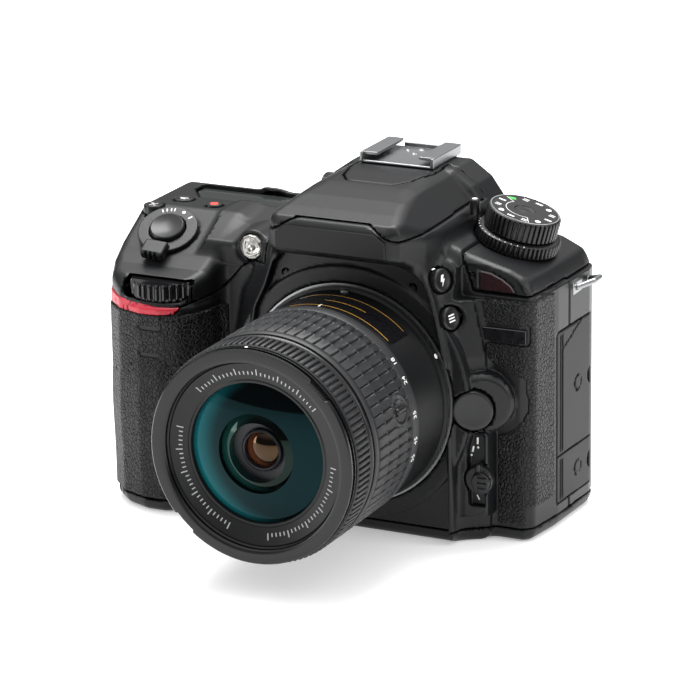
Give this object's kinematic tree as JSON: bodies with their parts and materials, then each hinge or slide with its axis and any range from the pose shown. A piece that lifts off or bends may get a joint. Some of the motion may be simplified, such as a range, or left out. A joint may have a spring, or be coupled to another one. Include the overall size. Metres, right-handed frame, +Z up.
{
  "type": "dslr camera",
  "caption": "Single-lens reflex camera with a contoured grip, pop-up flash head, tilting rear screen, top dials and a collapsible zoom lens on a bayonet mount.",
  "frame": {"origin": "mouth of the tripod socket on the base face", "axes": "+Z up; the lens looks along -Y; the grip is at -X and the connector side at +X"},
  "size_m": [0.1463, 0.1255, 0.1045],
  "materials": {
    "cover_plastic": "fine-grain moulded polycarbonate",
    "rubber_grain": "leather-grain rubber",
    "trim_red": "satin coloured trim",
    "frame_plastic": "flocked black frame",
    "clear_glass": "polished optical glass",
    "coated_glass": "multi-coated lens glass",
    "mirror_glass": "first-surface mirror",
    "steel": "satin plated metal",
    "screw_black": "black oxide",
    "board_green": "circuit board",
    "battery_grey": "battery case",
    "button_plastic": "satin button plastic",
    "dial_plastic": "knurled dial plastic",
    "screen_glass": "gloss screen cover",
    "display_grey": "display window",
    "lamp_lens": "faceted clear lamp lens",
    "lens_barrel_plastic": "satin lens barrel",
    "lens_rubber": "ribbed lens rubber"
  },
  "bodies": {
    "body": {"front_cover": "cover_plastic", "rear_cover": "cover_plastic", "top_cover": "cover_plastic", "bottom_cover": "cover_plastic", "grip_rubber": "rubber_grain", "side_rubber": "rubber_grain", "thumb_rubber": "rubber_grain", "grip_trim": "trim_red", "mirror_box": "frame_plastic", "focusing_screen": "clear_glass", "pentaprism": "clear_glass", "eyepiece_lens": "clear_glass", "eyecup": "rubber_grain", "shutter_unit": "frame_plastic", "image_sensor": "board_green", "main_board": "board_green", "battery": "battery_grey", "tripod_socket": "steel", "mount_ring": "steel", "strap_lugs": "steel", "hot_shoe": "steel", "top_display": "display_grey", "af_lamp": "lamp_lens", "ir_window": "screen_glass", "badge_plate": "button_plastic", "cover_screws": "screw_black"},
    "main_mirror": {"main_mirror": "mirror_glass"},
    "sub_mirror": {"sub_mirror": "mirror_glass"},
    "flash_head": {"flash_head": "cover_plastic"},
    "battery_door": {"battery_door": "cover_plastic"},
    "card_door": {"card_door": "rubber_grain"},
    "port_cover_upper": {"port_cover_upper": "cover_plastic"},
    "port_cover_lower": {"port_cover_lower": "cover_plastic"},
    "lcd_arm": {"lcd_arm": "frame_plastic"},
    "lcd_panel": {"lcd_panel": "screen_glass"},
    "shutter_button": {"shutter_button": "button_plastic"},
    "power_switch": {"power_switch": "button_plastic"},
    "ev_button": {"ev_button": "button_plastic"},
    "iso_button": {"iso_button": "button_plastic"},
    "record_button": {"record_button": "button_plastic"},
    "mode_dial": {"mode_dial": "dial_plastic"},
    "release_dial": {"release_dial": "dial_plastic"},
    "dial_lock_button": {"dial_lock_button": "button_plastic"},
    "front_dial": {"front_dial": "dial_plastic"},
    "rear_dial": {"rear_dial": "dial_plastic"},
    "diopter_dial": {"diopter_dial": "dial_plastic"},
    "lens_release_button": {"lens_release_button": "button_plastic"},
    "focus_lever": {"focus_lever": "button_plastic"},
    "flash_button": {"flash_button": "button_plastic"},
    "bracket_button": {"bracket_button": "button_plastic"},
    "multi_selector": {"multi_selector": "button_plastic"},
    "rear_buttons": {"rear_buttons": "button_plastic"},
    "lens_mount": {"fixed_barrel": "lens_barrel_plastic", "rear_element": "coated_glass"},
    "zoom_ring": {"zoom_ring": "lens_rubber"},
    "retract_button": {"retract_button": "button_plastic"},
    "inner_barrel": {"inner_barrel": "lens_barrel_plastic", "lens_bezel": "lens_barrel_plastic", "front_element": "coated_glass"},
    "focus_ring": {"focus_ring": "lens_rubber"}
  },
  "joints": [
    {"name": "mirror_flip", "type": "hinge", "parent": "body", "child": "main_mirror", "pos_m": [0, 0.0022, 0.0574], "axis": [-1, 0, 0], "range_deg": [0, 44], "stiffness_Nm_per_rad": 0.02},
    {"name": "sub_mirror_fold", "type": "hinge", "parent": "main_mirror", "child": "sub_mirror", "pos_m": [0, -0.00452, 0.04856], "axis": [-1, 0, 0], "range_deg": [0, 88]},
    {"name": "flash_lift", "type": "hinge", "parent": "body", "child": "flash_head", "pos_m": [0, 0.004, 0.098], "axis": [-1, 0, 0], "range_deg": [0, 75]},
    {"name": "battery_door_swing", "type": "hinge", "parent": "body", "child": "battery_door", "pos_m": [-0.0511, -0.025, 0.0016], "axis": [0, -1, 0], "range_deg": [0, 95]},
    {"name": "card_door_swing", "type": "hinge", "parent": "body", "child": "card_door", "pos_m": [-0.07965, -0.01115, 0.035], "axis": [0, 0, 1], "range_deg": [0, 90]},
    {"name": "port_cover_upper_swing", "type": "hinge", "parent": "body", "child": "port_cover_upper", "pos_m": [0.05415, -0.00775, 0.041], "axis": [0, 0, -1], "range_deg": [0, 90]},
    {"name": "port_cover_lower_swing", "type": "hinge", "parent": "body", "child": "port_cover_lower", "pos_m": [0.05415, -0.00775, 0.015], "axis": [0, 0, -1], "range_deg": [0, 90]},
    {"name": "lcd_arm_tilt", "type": "hinge", "parent": "body", "child": "lcd_arm", "pos_m": [0.003, 0.0193, 0.006], "axis": [-1, 0, 0], "range_deg": [0, 45]},
    {"name": "lcd_panel_tilt", "type": "hinge", "parent": "lcd_arm", "child": "lcd_panel", "pos_m": [0.003, 0.022, 0.0623], "axis": [1, 0, 0], "range_deg": [0, 90]},
    {"name": "shutter_press", "type": "slide", "parent": "body", "child": "shutter_button", "axis": [-0.0872, 0.5131, -0.8539], "range_m": [0, 0.0012], "stiffness_N_per_m": 800},
    {"name": "power_turn", "type": "hinge", "parent": "body", "child": "power_switch", "pos_m": [-0.0665, -0.0191, 0.08], "axis": [-0.0872, 0.5131, -0.8539], "range_deg": [0, 60]},
    {"name": "ev_press", "type": "slide", "parent": "body", "child": "ev_button", "axis": [0, 0, -1], "range_m": [0, 0.0008], "stiffness_N_per_m": 500},
    {"name": "iso_press", "type": "slide", "parent": "body", "child": "iso_button", "axis": [0, 0, -1], "range_m": [0, 0.0007], "stiffness_N_per_m": 500},
    {"name": "record_press", "type": "slide", "parent": "body", "child": "record_button", "axis": [0, 0, -1], "range_m": [0, 0.0008], "stiffness_N_per_m": 500},
    {"name": "mode_dial_turn", "type": "hinge", "parent": "body", "child": "mode_dial", "pos_m": [0.0412, 0, 0.0936], "axis": [0.2588, 0, 0.9659], "continuous": true},
    {"name": "release_dial_turn", "type": "hinge", "parent": "body", "child": "release_dial", "pos_m": [0.0412, 0, 0.0936], "axis": [0.2588, 0, 0.9659], "range_deg": [-120, 120]},
    {"name": "dial_lock_press", "type": "slide", "parent": "body", "child": "dial_lock_button", "axis": [0, 0, -1], "range_m": [0, 0.0006], "stiffness_N_per_m": 400},
    {"name": "front_dial_turn", "type": "hinge", "parent": "body", "child": "front_dial", "pos_m": [-0.0605, -0.0326, 0.068], "axis": [0, 0, 1], "continuous": true},
    {"name": "rear_dial_turn", "type": "hinge", "parent": "body", "child": "rear_dial", "pos_m": [-0.061, 0.0112, 0.0687], "axis": [0, 0, 1], "continuous": true},
    {"name": "diopter_turn", "type": "hinge", "parent": "body", "child": "diopter_dial", "pos_m": [-0.0272, 0.014, 0.09], "axis": [-1, 0, 0], "range_deg": [-150, 150]},
    {"name": "lens_release_press", "type": "slide", "parent": "body", "child": "lens_release_button", "axis": [0.342, 0.9397, 0], "range_m": [0, 0.0015], "stiffness_N_per_m": 700},
    {"name": "focus_lever_turn", "type": "hinge", "parent": "body", "child": "focus_lever", "pos_m": [0.0402, -0.031, 0.0205], "axis": [0, -1, 0], "range_deg": [0, 35]},
    {"name": "flash_press", "type": "slide", "parent": "body", "child": "flash_button", "axis": [-0.9744, 0, -0.225], "range_m": [0, 0.0009], "stiffness_N_per_m": 500},
    {"name": "bracket_press", "type": "slide", "parent": "body", "child": "bracket_button", "axis": [-0.9744, 0, -0.225], "range_m": [0, 0.0009], "stiffness_N_per_m": 500},
    {"name": "selector_tilt", "type": "hinge", "parent": "body", "child": "multi_selector", "pos_m": [-0.0575, 0.0165, 0.044], "axis": [1, 0, 0], "range_deg": [-5, 5], "stiffness_Nm_per_rad": 0.15},
    {"name": "rear_buttons_press", "type": "slide", "parent": "body", "child": "rear_buttons", "axis": [0, -1, 0], "range_m": [0, 0.0008], "stiffness_N_per_m": 900},
    {"name": "lens_bayonet", "type": "hinge", "parent": "body", "child": "lens_mount", "pos_m": [0, -0.0345, 0.0426], "axis": [0, -1, 0], "range_deg": [0, 60]},
    {"name": "zoom_turn", "type": "hinge", "parent": "lens_mount", "child": "zoom_ring", "pos_m": [0, -0.069, 0.0426], "axis": [0, -1, 0], "range_deg": [0, 105]},
    {"name": "retract_press", "type": "slide", "parent": "zoom_ring", "child": "retract_button", "axis": [-0.9659, 0, -0.2588], "range_m": [0, 0.0007], "stiffness_N_per_m": 600},
    {"name": "zoom_slide", "type": "slide", "parent": "lens_mount", "child": "inner_barrel", "axis": [0, -1, 0], "range_m": [0, 0.0235]},
    {"name": "focus_turn", "type": "hinge", "parent": "inner_barrel", "child": "focus_ring", "pos_m": [0, -0.0897, 0.0426], "axis": [0, -1, 0], "continuous": true}
  ],
  "couplings": [
    {"joint": "sub_mirror_fold", "follows": "mirror_flip", "ratio": 2},
    {"joint": "zoom_slide", "follows": "zoom_turn", "m_per_rad": 0.01255}
  ]
}
